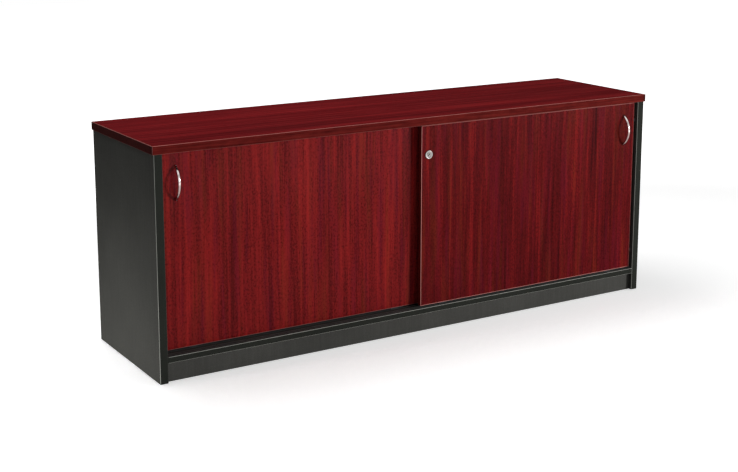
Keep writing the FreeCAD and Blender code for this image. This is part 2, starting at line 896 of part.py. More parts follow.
def lock_keeper():
    """The keeper on the rear door's inner edge: a plate on the edge and a tongue in front."""
    tip = lock_x - cam_width / 2 - keeper_play
    y_plate = (rear_door_face, rear_door_face + door_thickness)
    z_plate = (keeper_bottom, keeper_bottom + keeper_plate_height)
    plate = block((door_inner, door_inner + keeper_base), y_plate, z_plate)
    front = rear_door_face - keeper_cam_gap
    y_tongue = (front, front + keeper_tongue_depth)
    tongue = block((door_inner, tip), y_tongue, (keeper_bottom, keeper_bottom + keeper_tongue_height))
    solid = plate.fuse(tongue).removeSplitter()
    return solid.cut([keeper_screw(p, thread_fit) for p in keeper_screw_places()])


def carcass_nodes():
    boards = {
        "top_panel": top_core(),
        "side_panel_left": side_panel(-1),
        "side_panel_right": side_panel(1),
        "bottom_panel": bottom_panel(),
        "kick_board": kick_board(),
        "rear_kick_board": rear_kick_board(),
        "plinth_brace": plinth_brace(),
        "back_panel": back_panel(),
        "centre_divider": centre_divider(),
        "shelf_left": shelf(-1),
        "shelf_right": shelf(1),
    }
    drills = board_drills() + pin_drills()
    nodes = {name: drilled(board, drills) for name, board in boards.items()}
    nodes["top_edging"] = group(top_edges())
    nodes["side_edging"] = group(side_edges())
    nodes["bottom_edging"] = bottom_edge()
    nodes["inner_edging"] = group(inner_edges())
    nodes["shelf_pins"] = group(shelf_pins())
    nodes["upper_track_front"] = upper_track(right_door)
    nodes["upper_track_rear"] = upper_track(left_door)
    nodes["lower_track_front"] = lower_track(right_door)
    nodes["lower_track_rear"] = lower_track(left_door)
    nodes["door_buffers"] = group(door_buffers())
    nodes["floor_glides"] = group([glide(p) for p in glide_places()])
    nodes["cam_locks"] = group([cam_lock(p) for p in cam_places()])
    nodes["cam_bolts"] = group([cam_bolt(p) for p in cam_places()])
    nodes["wood_dowels"] = group(dowels())
    nodes["divider_screws"] = group([confirmat(start, axis, 0) for start, axis in confirmat_places()])
    return nodes


def door_nodes(door):
    name = door.name
    rollers = inset_places(door, roller_inset)
    guides = inset_places(door, guide_inset)
    nodes = {
        name + "_door_panel": door_panel(door),
        name + "_door_edging": group(door_edges(door)),
        name + "_handle": handle(door),
        name + "_handle_screws": group(handle_screws(door)),
        name + "_roller_housings": group([roller_housing(door, x) for x in rollers]),
        name + "_roller_axles": group([roller_axle(door, x) for x in rollers]),
        name + "_guide_sleeves": group([guide_sleeve(door, x) for x in guides]),
    }
    for place, roller_x, guide_x in zip(("outer", "inner"), rollers, guides):
        nodes[name + "_wheel_" + place] = wheel(door, roller_x)
        nodes[name + "_guide_pin_" + place] = guide_pin(door, guide_x)
        nodes[name + "_guide_spring_" + place] = guide_spring(door, guide_x)
    return nodes


def lock_nodes():
    return {
        "lock_barrel": lock_barrel(),
        "lock_nut": lock_nut(),
        "lock_plug": lock_plug(),
        "lock_cam": lock_cam(),
        "lock_cam_screw": cam_screw(),
        "lock_keeper": lock_keeper(),
        "keeper_screws": group([keeper_screw(p, 0) for p in keeper_screw_places()]),
    }


os.makedirs("parts", exist_ok=True)
nodes = {**carcass_nodes(), **door_nodes(left_door), **door_nodes(right_door), **lock_nodes()}
for name, shape in nodes.items():
    shape.exportStep("parts/" + name + ".step")
print(len(nodes), "nodes,", sum(len(shape.Solids) for shape in nodes.values()), "solids")
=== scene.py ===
import math

import bmesh
import bpy
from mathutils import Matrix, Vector


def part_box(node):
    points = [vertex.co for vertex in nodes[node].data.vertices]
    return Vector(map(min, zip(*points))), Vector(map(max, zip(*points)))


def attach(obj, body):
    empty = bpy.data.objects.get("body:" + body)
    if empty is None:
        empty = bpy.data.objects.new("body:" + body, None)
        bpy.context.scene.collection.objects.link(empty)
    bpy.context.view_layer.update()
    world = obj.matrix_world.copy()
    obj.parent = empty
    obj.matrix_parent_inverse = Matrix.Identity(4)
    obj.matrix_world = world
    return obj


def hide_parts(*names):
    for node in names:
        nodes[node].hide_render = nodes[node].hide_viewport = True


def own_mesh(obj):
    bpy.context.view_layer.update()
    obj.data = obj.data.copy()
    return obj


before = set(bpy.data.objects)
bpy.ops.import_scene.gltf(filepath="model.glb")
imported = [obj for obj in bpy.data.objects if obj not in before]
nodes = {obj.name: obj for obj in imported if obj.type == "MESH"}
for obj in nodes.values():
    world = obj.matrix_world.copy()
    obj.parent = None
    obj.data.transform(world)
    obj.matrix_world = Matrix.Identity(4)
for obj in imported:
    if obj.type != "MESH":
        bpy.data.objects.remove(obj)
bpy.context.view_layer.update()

millimetre = 0.001
print("frame loaded:", len(nodes), "nodes")


# Shader maths: a Signal is one output socket, and arithmetic on it adds Math nodes


class Signal:
    def __init__(self, graph, socket):
        self.graph = graph
        self.socket = socket

    def maths(self, operation, *values):
        return self.graph.node("ShaderNodeMath", {"operation": operation}, dict(enumerate(values)))

    def __add__(self, other):
        return self.maths("ADD", self, other)

    def __radd__(self, other):
        return self.maths("ADD", other, self)

    def __sub__(self, other):
        return self.maths("SUBTRACT", self, other)

    def __rsub__(self, other):
        return self.maths("SUBTRACT", other, self)

    def __mul__(self, other):
        return self.maths("MULTIPLY", self, other)

    def __rmul__(self, other):
        return self.maths("MULTIPLY", other, self)

    def __pow__(self, other):
        return self.maths("POWER", self, other)

    def __rpow__(self, other):
        return self.maths("POWER", other, self)

    def __abs__(self):
        return self.maths("ABSOLUTE", self)

    def atLeast(self, other):
        return self.maths("MAXIMUM", self, other)

    def stepUp(self, low, high):  # 0 below low, 1 above high, smooth between
        sockets = {"Value": self, "From Min": low, "From Max": high}
        return self.graph.node("ShaderNodeMapRange", {"interpolation_type": "SMOOTHSTEP"}, sockets)


class Graph:
    def __init__(self, tree):
        self.tree = tree

    def node(self, kind, settings=None, sockets=None, out=0):
        made = self.tree.nodes.new(kind)
        for setting, value in (settings or {}).items():
            if setting == "stops":
                self.fillRamp(made.color_ramp, value)
            else:
                setattr(made, setting, value)
        for socket, value in (sockets or {}).items():
            self.feed(made.inputs[socket], value)
        return Signal(self, made.outputs[out])

    def feed(self, target, value):
        if isinstance(value, Signal):
            self.tree.links.new(value.socket, target)
        else:
            target.default_value = value

    def fillRamp(self, ramp, stops):
        while len(ramp.elements) < len(stops):
            ramp.elements.new(1.0)
        for element, (place, colour) in zip(ramp.elements, stops):
            element.position = place
            element.color = colour

    def place(self):  # the piece's own coordinates, in metres, which stay with it as it moves
        return self.node("ShaderNodeTexCoord", out="Object")

    def split(self, vector):
        return [self.node("ShaderNodeSeparateXYZ", None, {0: vector}, axis) for axis in range(3)]

    def noise(self, x, y, z, detail):  # noise whose cells measure 1 in these coordinates
        vector = self.node("ShaderNodeCombineXYZ", None, {0: x, 1: y, 2: z})
        return self.noiseOver(vector, detail)

    def noiseOver(self, vector, detail):
        sockets = {"Vector": vector, "Scale": 1.0, "Detail": detail, "Roughness": 0.55}
        return self.node("ShaderNodeTexNoise", {"noise_dimensions": "3D"}, sockets)

    def cells(self, perMetre, detail, shift=0.0):  # noise with this many cells per metre along x, y and z
        sockets = {"Vector": self.place(), "Location": (shift, shift, shift), "Scale": perMetre}
        return self.noiseOver(self.node("ShaderNodeMapping", {"vector_type": "POINT"}, sockets), detail)

    def ramp(self, value, *stops):
        return self.node("ShaderNodeValToRGB", {"stops": stops}, {0: value})

    def mix(self, share, first, second):
        return self.node("ShaderNodeMix", {"data_type": "RGBA"}, {0: share, 6: first, 7: second}, 2)

    def rays(self, *kinds):  # 1 for rays of any of these kinds
        first, *others = [self.node("ShaderNodeLightPath", out=kind) for kind in kinds]
        for other in others:
            first = first.atLeast(other)
        return first


class Finish(Graph):  # a material; wear sets a constant on the shader's own socket, or links a signal to it
    def __init__(self, name, **constants):
        self.material = bpy.data.materials.new(name)
        self.material.use_nodes = True
        super().__init__(self.material.node_tree)
        self.shader = self.tree.nodes["Principled BSDF"]
        self.wear(**constants)

    def arris(self, low, high):  # 1 on rounded corners, 0 on flat faces
        facing = self.node("ShaderNodeTexCoord", out="Normal")
        x, y, z = [abs(part) for part in self.split(facing)]
        return 1 - x.atLeast(y).atLeast(z).stepUp(low, high)

    def bump(self, height, strength, distance):
        sockets = {"Strength": strength, "Distance": distance, "Height": height}
        self.wear(Normal=self.node("ShaderNodeBump", None, sockets))

    def wear(self, **values):
        for socket, value in values.items():
            self.feed(self.shader.inputs[socket.replace("_", " ")], value)


def tone(red, green, blue):  # a screen colour, 0 to 255, as the shaders take it
    def linear(value):
        share = value / 255
        return share / 12.92 if share <= 0.04045 else ((share + 0.055) / 1.055) ** 2.4

    return (linear(red), linear(green), linear(blue), 1.0)


# Door laminate: a printed wood pattern that runs upright, under a hard, slightly textured resin

doorLook = dict(
    left=(0.0, 0.16, 0.05), right=(11.3, -0.09, 0.02),  # each door: noise start, painted light added to even out the lamps between the doors, gloss
    dark=tone(52, 10, 12), middle=tone(98, 19, 21), bright=tone(148, 33, 31), middleStop=0.48, contrast=3.1,
    swayCells=(3.0, 3.0, 1.6), swayReach=0.012,
    layers=(  # name, cells per metre across and along the grain, detail, share of the figure
        ("bands", 24.0, 0.9, 2.0, 0.26), ("streaks", 80.0, 2.2, 3.0, 0.33), ("lines", 170.0, 5.0, 2.0, 0.2),
        ("ticks", 190.0, 140.0, 1.0, 0.15), ("threads", 430.0, 11.0, 2.0, 0.06),
    ),
    tints=(  # tone, cells per metre across and along the grain, start
        (tone(112, 41, 23), 38.0, 2.0, 4.0), (tone(104, 20, 38), 47.0, 2.6, 9.0),
    ),
    tintRange=(0.48, 0.72), tintDetail=3.0, tintShare=0.42,
    poreTicks=(0.27, 0.52), poreStreaks=(0.45, 0.7), poreShare=0.36,
    wipeCells=(5.0, 5.0, 5.0), wipeRoughness=0.2, wipeGloss=0.03, roughness=0.5, bump=(0.22, 0.0002),
)


def makeDoorLaminate(side):
    look = doorLook
    shift, paintedLift, gloss = look[side]
    finish = Finish(side + "DoorLaminate", Specular_IOR_Level=0.0, Coat_Roughness=0.1)
    x, y, z = finish.split(finish.place())
    across = x + (finish.cells(look["swayCells"], detail=2.0, shift=shift) - 0.5) * look["swayReach"]

    def grain(acrossCells, alongCells, detail, start=0.0):
        return finish.noise(across * acrossCells, y, z * alongCells + (shift + start), detail)

    layers, figure = {}, 0.0
    for layer, acrossCells, alongCells, detail, share in look["layers"]:
        layers[layer] = grain(acrossCells, alongCells, detail)
        figure = figure + layers[layer] * share
    # painted light: each door's pattern is made lighter or darker as a whole
    stretched = (figure - 0.5) * look["contrast"] + (0.5 + paintedLift)
    stops = ((0.0, look["dark"]), (look["middleStop"], look["middle"]), (1.0, look["bright"]))
    colour = finish.ramp(stretched, *stops)
    for tint, acrossCells, alongCells, start in look["tints"]:
        share = grain(acrossCells, alongCells, look["tintDetail"], start).stepUp(*look["tintRange"])
        colour = finish.mix(share * look["tintShare"], colour, tint)
    betweenTicks = 1 - layers["ticks"].stepUp(*look["poreTicks"])
    betweenStreaks = 1 - layers["streaks"].stepUp(*look["poreStreaks"])
    pores = betweenTicks * betweenStreaks * look["poreShare"]
    finish.wear(Base_Color=finish.mix(pores, colour, look["dark"]))
    wipe = finish.cells(look["wipeCells"], detail=4.0)
    finish.wear(Roughness=look["roughness"] + (wipe - 0.5) * look["wipeRoughness"])
    finish.wear(Coat_Weight=wipe * look["wipeGloss"] + gloss)
    finish.bump(layers["threads"] * 0.5 + layers["ticks"] * 0.5, *look["bump"])
    return finish.material


# Top laminate: the same print with its grain along the top

topLook = dict(
    dark=tone(44, 3, 6), middle=tone(97, 16, 20), bright=tone(150, 36, 38), contrast=2.2,
    swayCells=(1.1, 4.0, 4.0), swayReach=0.014,
    bands=(0.5, 16.0, 0.0, 2.0), streaks=(1.6, 90.0, 3.0, 3.0), lines=(7.0, 430.0, 7.0, 2.0),
    pores=(45.0, 560.0, 9.0, 1.0),  # each: cells per metre along and across the grain, start, detail
    shares=(0.3, 0.4, 0.3), poreRange=(0.6, 0.74), poreShare=0.5,
    wipeCells=(4.0, 6.0, 4.0), wipeRoughness=0.2, wipeGloss=0.008,
    roughness=0.5, gloss=0.006, bump=(0.2, 0.0002),
)


def makeTopLaminate():
    look = topLook
    finish = Finish("topLaminate", Specular_IOR_Level=0.0, Coat_Roughness=0.2)
    x, y, z = finish.split(finish.place())
    across = y + z + (finish.cells(look["swayCells"], detail=2.0) - 0.5) * look["swayReach"]

    def grain(layer):
        alongCells, acrossCells, start, detail = look[layer]
        return finish.noise(x * alongCells, across * acrossCells, start, detail)

    bands, streaks, lines, pores = [grain(layer) for layer in ("bands", "streaks", "lines", "pores")]
    bandShare, streakShare, lineShare = look["shares"]
    figure = bands * bandShare + streaks * streakShare + lines * lineShare
    stretched = (figure - 0.5) * look["contrast"] + 0.5
    colour = finish.ramp(stretched, (0.0, look["dark"]), (0.5, look["middle"]), (1.0, look["bright"]))
    poreShare = pores.stepUp(*look["poreRange"]) * look["poreShare"]
    finish.wear(Base_Color=finish.mix(poreShare, colour, look["dark"]))
    wipe = finish.cells(look["wipeCells"], detail=5.0)
    finish.wear(Roughness=look["roughness"] + (wipe - 0.5) * look["wipeRoughness"])
    finish.wear(Coat_Weight=wipe * look["wipeGloss"] + look["gloss"])
    finish.bump(lines * 0.5 + pores * 0.5, *look["bump"])
    return finish.material


# Red edging: thin strips with a mottled grain, and a painted highlight on their arrises that is stronger in
# some patches than in others

edgingLook = dict(
    dark=tone(64, 14, 13), bright=tone(114, 34, 30), contrast=2.4,
    grain=(5.0, 240.0, 0.6), mottle=(26.0, 70.0, 0.4),  # cells per metre along and across, and share
    arrisHighlightTone=tone(226, 150, 142), arrisRange=(0.78, 0.97),
    wearCells=(30.0, 30.0, 30.0), wearLeast=0.6, wearSpread=0.5,
    roughness=0.5, arrisPolish=0.1, gloss=0.012, arrisGloss=0.06, bump=(0.18, 0.0002),
)
doorEdgingLook = dict(
    left=0.3, right=0.9,  # how strong each door's painted highlight on its arrises is; the right door, in more light, gets more
    beadDepth=0.0014, beadFade=0.6, topReach=(0.006, 0.002), topBead=0.4,
    outerReach=(0.84, 0.86), outerFade=0.7,
)
slabEdgingLook = dict(
    share=0.85,  # how strong its painted highlight on the arrises is
    lowArris=0.5, farArris=0.2, farReach=(0.004, 0.002), cornerWidth=0.016, cornerShare=0.75,
    # the end tone is painted shade for the top's ends and its right-hand corner
    endShadeTone=tone(30, 14, 13), endReach=(0.002, 0.001), endShare=0.75,
)


def startEdging(name, alongX):  # the strip's finish, coordinates, grain, colour, and the mask of its arrises' painted highlight
    look = edgingLook
    finish = Finish(name, Specular_IOR_Level=0.0, Coat_Roughness=0.16)
    x, y, z = finish.split(finish.place())
    along, across = (x, z) if alongX else (z, x)
    grainRun, grainCells, grainShare = look["grain"]
    mottleRun, mottleCells, mottleShare = look["mottle"]
    grain = finish.noise(along * grainRun, across * grainCells, y * grainCells, detail=3.0)
    mottle = finish.noise(along * mottleRun, across * mottleCells, y * mottleCells, detail=3.0)
    figure = (grain * grainShare + mottle * mottleShare - 0.5) * look["contrast"] + 0.5
    colour = finish.ramp(figure, (0.0, look["dark"]), (1.0, look["bright"]))
    patches = finish.cells(look["wearCells"], detail=2.0) * look["wearSpread"] + look["wearLeast"]
    arrisMask = finish.arris(*look["arrisRange"]) * patches
    return finish, (x, y, z), grain, colour, arrisMask


def finishEdging(finish, grain, colour, arrisMask, share):
    look = edgingLook
    # painted highlight on the arrises, stronger in some patches than in others
    finish.wear(Base_Color=finish.mix(arrisMask * share, colour, look["arrisHighlightTone"]))
    finish.wear(Roughness=look["roughness"] - arrisMask * look["arrisPolish"])
    finish.wear(Coat_Weight=arrisMask * look["arrisGloss"] + look["gloss"])
    finish.bump(grain, *look["bump"])
    return finish.material


def makeDoorEdging(side):  # a strip with a painted highlight along its front, which outlines the door
    look = doorEdgingLook
    finish, (x, y, z), grain, colour, arrisMask = startEdging(side + "DoorEdging", False)
    low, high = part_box(side + "_door_edging")
    # painted highlight: a pale line along the strip's front
    bead = 1 - y.stepUp(low.y + look["beadDepth"] * look["beadFade"], low.y + look["beadDepth"])
    start, end = look["topReach"]
    underTop = z.stepUp(high.z - start, high.z - end) * (1 - look["topBead"])  # the painted highlight is weaker under the top, in its shade
    outer = abs(x).stepUp(*look["outerReach"]) * look["outerFade"]  # and weaker at its shut end
    arrisMask = arrisMask.atLeast(bead) * (1 - underTop) * (1 - outer)
    return finishEdging(finish, grain, colour, arrisMask, look[side])


def makeSlabEdging():  # painted shade on the ends and near the right-hand corner, and a weaker painted highlight on the lower arris, at the back and on the right
    look = slabEdgingLook
    finish, (x, y, z), grain, colour, arrisMask = startEdging("topEdging", True)
    low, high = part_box("top_edging")
    arrisMask = arrisMask * (z.stepUp(low.z, (low.z + high.z) / 2) * (1 - look["lowArris"]) + look["lowArris"])
    start, end = look["farReach"]
    far = x.stepUp(high.x - start, high.x - end).atLeast(y.stepUp(high.y - start, high.y - end))
    arrisMask = arrisMask * (1 - far * (1 - look["farArris"]))
    start, end = look["endReach"]
    # painted shade: the ends, and the front near the right-hand corner, go dark
    endShade = abs(x).stepUp(high.x - start, high.x - end) * look["endShare"]
    corner = x.stepUp(high.x - look["cornerWidth"], high.x) * look["cornerShare"]
    colour = finish.mix(endShade.atLeast(corner), colour, look["endShadeTone"])
    return finishEdging(finish, grain, colour, arrisMask, look["share"])


# Charcoal boards and their edging

charcoalLook = dict(
    laminate=(tone(50, 50, 48), tone(62, 62, 59), tone(78, 77, 74)),
    kick=(tone(57, 57, 55), tone(71, 71, 68), tone(89, 88, 85)),
    edging=(tone(34, 36, 33), tone(42, 44, 40), tone(50, 51, 47)),
    stops=(0.3, 0.5, 0.72), shares=(0.6, 0.26, 0.14),
    fleckCells=(900.0, 900.0, 900.0), cloudCells=(3.5, 3.5, 3.5), brushedCells=(160.0, 160.0, 9.0),
    # painted highlight on the edging's arrises
    arrisHighlightTone=tone(208, 210, 202), arrisRange=(0.84, 0.985), arrisHighlightShare=0.85,
    # painted shade on the arris that the rear door shuts behind
    shutShadeTone=tone(10, 9, 8), shutShadeReach=(0.002, 0.003),
    roughness=0.6, cloudRoughness=0.16, gloss=0.008, cloudGloss=0.016,
    bumpShares=(0.85, 0.15), bump=(0.25, 0.00015),
)


def makeCharcoal(name, board):
    look = charcoalLook
    finish = Finish(name, Specular_IOR_Level=0.0, Coat_Roughness=0.35)
    fleck = finish.cells(look["fleckCells"], detail=2.0)
    cloud = finish.cells(look["cloudCells"], detail=4.0)
    brushed = finish.cells(look["brushedCells"], detail=2.0)
    fleckShare, cloudShare, brushedShare = look["shares"]
    figure = fleck * fleckShare + cloud * cloudShare + brushed * brushedShare
    colour = finish.ramp(figure, *zip(look["stops"], look[board]))
    if board == "edging":
        x, y, z = finish.split(finish.place())
        arrisMask = finish.arris(*look["arrisRange"])
        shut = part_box("side_panel_left")[1].x  # painted shade: a dark line on the arris at the corner that the rear door shuts behind
        shutShade = arrisMask * (1 - abs(x - shut).stepUp(*look["shutShadeReach"]))
        # painted highlight on the arrises
        colour = finish.mix(arrisMask * look["arrisHighlightShare"], colour, look["arrisHighlightTone"])
        colour = finish.mix(shutShade, colour, look["shutShadeTone"])
    finish.wear(Base_Color=colour, Roughness=look["roughness"] + (cloud - 0.5) * look["cloudRoughness"])
    finish.wear(Coat_Weight=cloud * look["cloudGloss"] + look["gloss"])
    fleckBump, brushedBump = look["bumpShares"]
    finish.bump(fleck * fleckBump + brushed * brushedBump, *look["bump"])
    return finish.material


# Metals

metalLook = dict(
    chrome=(tone(208, 204, 205), tone(184, 181, 183), 0.08, 0.05),  # tone, cloud tone, roughness, scratches
    zincSteel=(tone(176, 180, 184), tone(140, 146, 152), 0.32, 0.2),
    castZinc=(tone(150, 152, 154), tone(120, 122, 124), 0.42, 0.3),
    springSteel=(tone(128, 130, 134), tone(90, 92, 98), 0.28, 0.15),
    fineCells=(2200.0, 2200.0, 300.0), cloudCells=(70.0, 70.0, 70.0),
    cloudRange=(0.35, 0.75), cloudShare=0.5, scratchDepth=0.00005,
)


def makeMetal(name):
    look = metalLook
    colour, cloudTone, roughness, scratches = look[name]
    finish = Finish(name, Metallic=1.0)
    fine = finish.cells(look["fineCells"], detail=2.0)
    cloud = finish.cells(look["cloudCells"], detail=3.0)
    cloudShare = cloud.stepUp(*look["cloudRange"]) * look["cloudShare"]
    finish.wear(Base_Color=finish.mix(cloudShare, colour, cloudTone))
    finish.wear(Roughness=(cloud * 0.5 + fine * 0.5) * roughness + roughness * 0.5)
    finish.bump(fine, scratches, look["scratchDepth"])
    return finish.material


bowLook = dict(
    # painted reflection: the cloudy tone in patches, and the darker, pinker lower half
    bright=tone(226, 213, 210), reflectionCloudTone=tone(156, 140, 138), rubbedAndReflection=tone(166, 138, 134),
    fineCells=(900.0, 900.0, 240.0), cloudCells=(50.0, 50.0, 80.0), cloudRange=(0.42, 0.62), cloudShare=0.7,
    rubbedReach=0.006, lowerReflectionLeast=0.65, lowerReflectionSpread=0.3, rubbedRoughness=0.14,
    roughness=0.09, bump=(0.06, 0.00005),
)


def makeBowChrome():  # polished above, and dulled by fingers on the lower half, which also gets a darker, pinker painted reflection; clouds of painted reflection lie all over
    look = bowLook
    finish = Finish("bowChrome", Metallic=1.0)
    x, y, z = finish.split(finish.place())
    low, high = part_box("right_handle")
    middle, reach = (low.z + high.z) / 2, look["rubbedReach"]
    fine = finish.cells(look["fineCells"], detail=2.0)
    cloud = finish.cells(look["cloudCells"], detail=2.0)
    rubbedAndReflection = 1 - z.stepUp(middle - reach, middle + reach)
    cloudShare = cloud.stepUp(*look["cloudRange"]) * look["cloudShare"]
    colour = finish.mix(cloudShare, look["bright"], look["reflectionCloudTone"])
    lowerReflectionShare = rubbedAndReflection * (cloud * look["lowerReflectionSpread"] + look["lowerReflectionLeast"])
    finish.wear(Base_Color=finish.mix(lowerReflectionShare, colour, look["rubbedAndReflection"]))
    dulled = fine * look["roughness"] + rubbedAndReflection * look["rubbedRoughness"]
    finish.wear(Roughness=dulled + look["roughness"] * 0.5)
    finish.bump(fine, *look["bump"])
    return finish.material


keywayAngle = math.radians(45.0)  # from upright, with the lock open
nickelLook = dict(
    # the edge tone is painted shade on the rosette's outer rim and side
    rim=tone(160, 150, 148), edge=tone(58, 50, 48), dish=tone(126, 121, 120), plug=tone(120, 118, 115),
    deep=tone(10, 9, 9), dishReach=(0.0099, 0.0107), rimReach=(0.0122, 0.0128),
    ringsPerMetre=5200.0, plugRingsPerMetre=4200.0, ringsInward=60.0, plugRingsStart=5.0,
    cloudCells=(160.0, 160.0, 160.0), cloudRange=(0.42, 0.62), cloudShare=0.5,
    ringRoughness=0.16, cloudRoughness=0.1, roughness=0.06, bump=(0.1, 0.00004),
    plugRingRoughness=0.2, plugRoughness=0.14, plugBump=(0.14, 0.00004),
    lipAside=(0.0013, 0.0018), lipAlong=(0.0044, 0.005), darkFrom=(0.0009, 0.0022),
)


def lockPlace(finish):  # sideways and up from the lock's axis, and the depth behind its front, in metres
    low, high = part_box("lock_barrel")
    x, y, z = finish.split(finish.place())
    return x - (low.x + high.x) / 2, z - (low.z + high.z) / 2, y - low.y


def makeLockNickel():
    look = nickelLook
    finish = Finish("lockNickel", Metallic=1.0)
    across, up, depth = lockPlace(finish)
    radius = (across * across + up * up) ** 0.5
    turned = finish.noise(radius * look["ringsPerMetre"], depth * look["ringsInward"], 0.0, detail=2.0)
    cloud = finish.cells(look["cloudCells"], detail=2.0)
    colour = finish.mix(radius.stepUp(*look["dishReach"]), look["dish"], look["rim"])
    # painted shade on the rosette's outer rim and side
    colour = finish.mix(radius.stepUp(*look["rimReach"]), colour, look["edge"])
    cloudShare = cloud.stepUp(*look["cloudRange"]) * look["cloudShare"]
    finish.wear(Base_Color=finish.mix(cloudShare, colour, look["dish"]))
    dulled = turned * look["ringRoughness"] + cloud * look["cloudRoughness"]
    finish.wear(Roughness=dulled + look["roughness"])
    finish.bump(turned, *look["bump"])
    return finish.material


def makePlugNickel():
    look = nickelLook
    finish = Finish("plugNickel", Metallic=1.0)
    across, up, depth = lockPlace(finish)
    radius = (across * across + up * up) ** 0.5
    inward = depth * look["ringsInward"]
    turned = finish.noise(radius * look["plugRingsPerMetre"], inward, look["plugRingsStart"], detail=2.0)
    colour = finish.mix(turned * 0.5, look["plug"], look["dish"])
    along = across * math.sin(keywayAngle) + up * math.cos(keywayAngle)
    aside = across * math.cos(keywayAngle) - up * math.sin(keywayAngle)
    lip = (1 - abs(aside).stepUp(*look["lipAside"])) * (1 - abs(along).stepUp(*look["lipAlong"]))
    dark = lip.atLeast(depth.stepUp(*look["darkFrom"]))  # painted shade on the keyway's lip and inside it
    finish.wear(Base_Color=finish.mix(dark, colour, look["deep"]))
    finish.wear(Roughness=turned * look["plugRingRoughness"] + look["plugRoughness"])
    finish.bump(turned, *look["plugBump"])
    return finish.material


# Plastics, rubber and wood of the small parts

plasticLook = dict(
    trackPlastic=(tone(34, 33, 32), tone(66, 64, 62), 0.42, 1400.0),  # tone, worn tone, roughness, speckles
    housingPlastic=(tone(40, 40, 42), tone(74, 74, 76), 0.45, 1400.0),
    nylon=(tone(37, 37, 39), tone(70, 70, 73), 0.38, 1400.0),
    rubber=(tone(26, 26, 27), tone(52, 52, 54), 0.72, 900.0),
    glidePlastic=(tone(46, 44, 42), tone(84, 80, 76), 0.5, 1400.0),
    cloudCells=(24.0, 24.0, 24.0), arrisRange=(0.8, 0.98), cloudRange=(0.45, 0.8),
    arrisScuff=0.6, cloudScuff=0.4, scuff=0.7, speckleRoughness=0.16, bump=(0.25, 0.0001),
)
beechLook = dict(
    tones=(tone(176, 132, 86), tone(214, 176, 128)), stops=(0.3, 0.7), cells=(60.0, 700.0, 700.0),
    bump=(0.3, 0.0002),
)


def makePlastic(name):
    look = plasticLook
    colour, wornTone, roughness, speckleCells = look[name]
    finish = Finish(name, Specular_IOR_Level=0.4)
    speckle = finish.cells((speckleCells, speckleCells, speckleCells), detail=2.0)
    arrisMask = finish.arris(*look["arrisRange"]) * look["arrisScuff"]
    cloud = finish.cells(look["cloudCells"], detail=3.0).stepUp(*look["cloudRange"]) * look["cloudScuff"]
    finish.wear(Base_Color=finish.mix((arrisMask + cloud) * look["scuff"], colour, wornTone))
    finish.wear(Roughness=(speckle - 0.5) * look["speckleRoughness"] + roughness)
    finish.bump(speckle, *look["bump"])
    return finish.material


def makeBeech():
    finish = Finish("beech", Roughness=0.62, Specular_IOR_Level=0.3)
    grain = finish.cells(beechLook["cells"], detail=3.0)
    finish.wear(Base_Color=finish.ramp(grain, *zip(beechLook["stops"], beechLook["tones"])))
    finish.bump(grain, *beechLook["bump"])
    return finish.material


topLaminate = makeTopLaminate()
rightDoorEdging = makeDoorEdging("right")
bowChrome = makeBowChrome()
lockNickel = makeLockNickel()
plugNickel = makePlugNickel()
zincSteel = makeMetal("zincSteel")
springSteel = makeMetal("springSteel")
kickLaminate = makeCharcoal("kickLaminate", "kick")

finishOfSlot = {
    "top_laminate": topLaminate,
    "red_edging": rightDoorEdging,
    "charcoal_laminate": makeCharcoal("charcoalLaminate", "laminate"),
    "charcoal_edging": makeCharcoal("charcoalEdging", "edging"),
    "chrome": makeMetal("chrome"),
    "lock_nickel": lockNickel,
    "zinc_steel": zincSteel,
    "cast_zinc": makeMetal("castZinc"),
    "spring_steel": springSteel,
    "track_plastic": makePlastic("trackPlastic"),
    "housing_plastic": makePlastic("housingPlastic"),
    "nylon": makePlastic("nylon"),
    "rubber": makePlastic("rubber"),
    "glide_plastic": makePlastic("glidePlastic"),
    "beech": makeBeech(),
}
finishOfNode = {  # these differ from the rest of their slot
    "top_edging": makeSlabEdging(),
    "left_door_edging": makeDoorEdging("left"),
    "left_door_panel": makeDoorLaminate("left"),
    "right_door_panel": makeDoorLaminate("right"),
    "kick_board": kickLaminate,
    "rear_kick_board": kickLaminate,
}


def dress(piece, finish):
    piece.data.materials.clear()
    piece.data.materials.append(finish)


for name, node in nodes.items():
    slotName = node.data.materials[0].name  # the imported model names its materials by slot
    dress(node, finishOfNode.get(name) or finishOfSlot[slotName])
print("finishes laid on", len(nodes), "nodes")


# What the new pieces share: sizes are in millimetres

sharpAngle = math.radians(38)


def makePiece(name, shape, node, body, finish):
    vertices, faces = shape
    mesh = bpy.data.meshes.new(name)
    mesh.from_pydata([Vector(point) * millimetre for point in vertices], [], faces)
    shell = bmesh.new()
    shell.from_mesh(mesh)
    bmesh.ops.recalc_face_normals(shell, faces=shell.faces)  # every face looks outwards
    shell.to_mesh(mesh)
    shell.free()
    for polygon in mesh.polygons:
        polygon.use_smooth = True
    mesh.set_sharp_from_angle(angle=sharpAngle)
    piece = bpy.data.objects.new(name, mesh)
    bpy.context.scene.collection.objects.link(piece)
    dress(piece, finish)
    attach(piece, body)
    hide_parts(node)
    return piece


def boxOf(node):  # a node's lowest and highest corner in millimetres
    return [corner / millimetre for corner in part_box(node)]


def turns(count):  # equal steps round a circle
    return [2 * math.pi * k / count for k in range(count)]


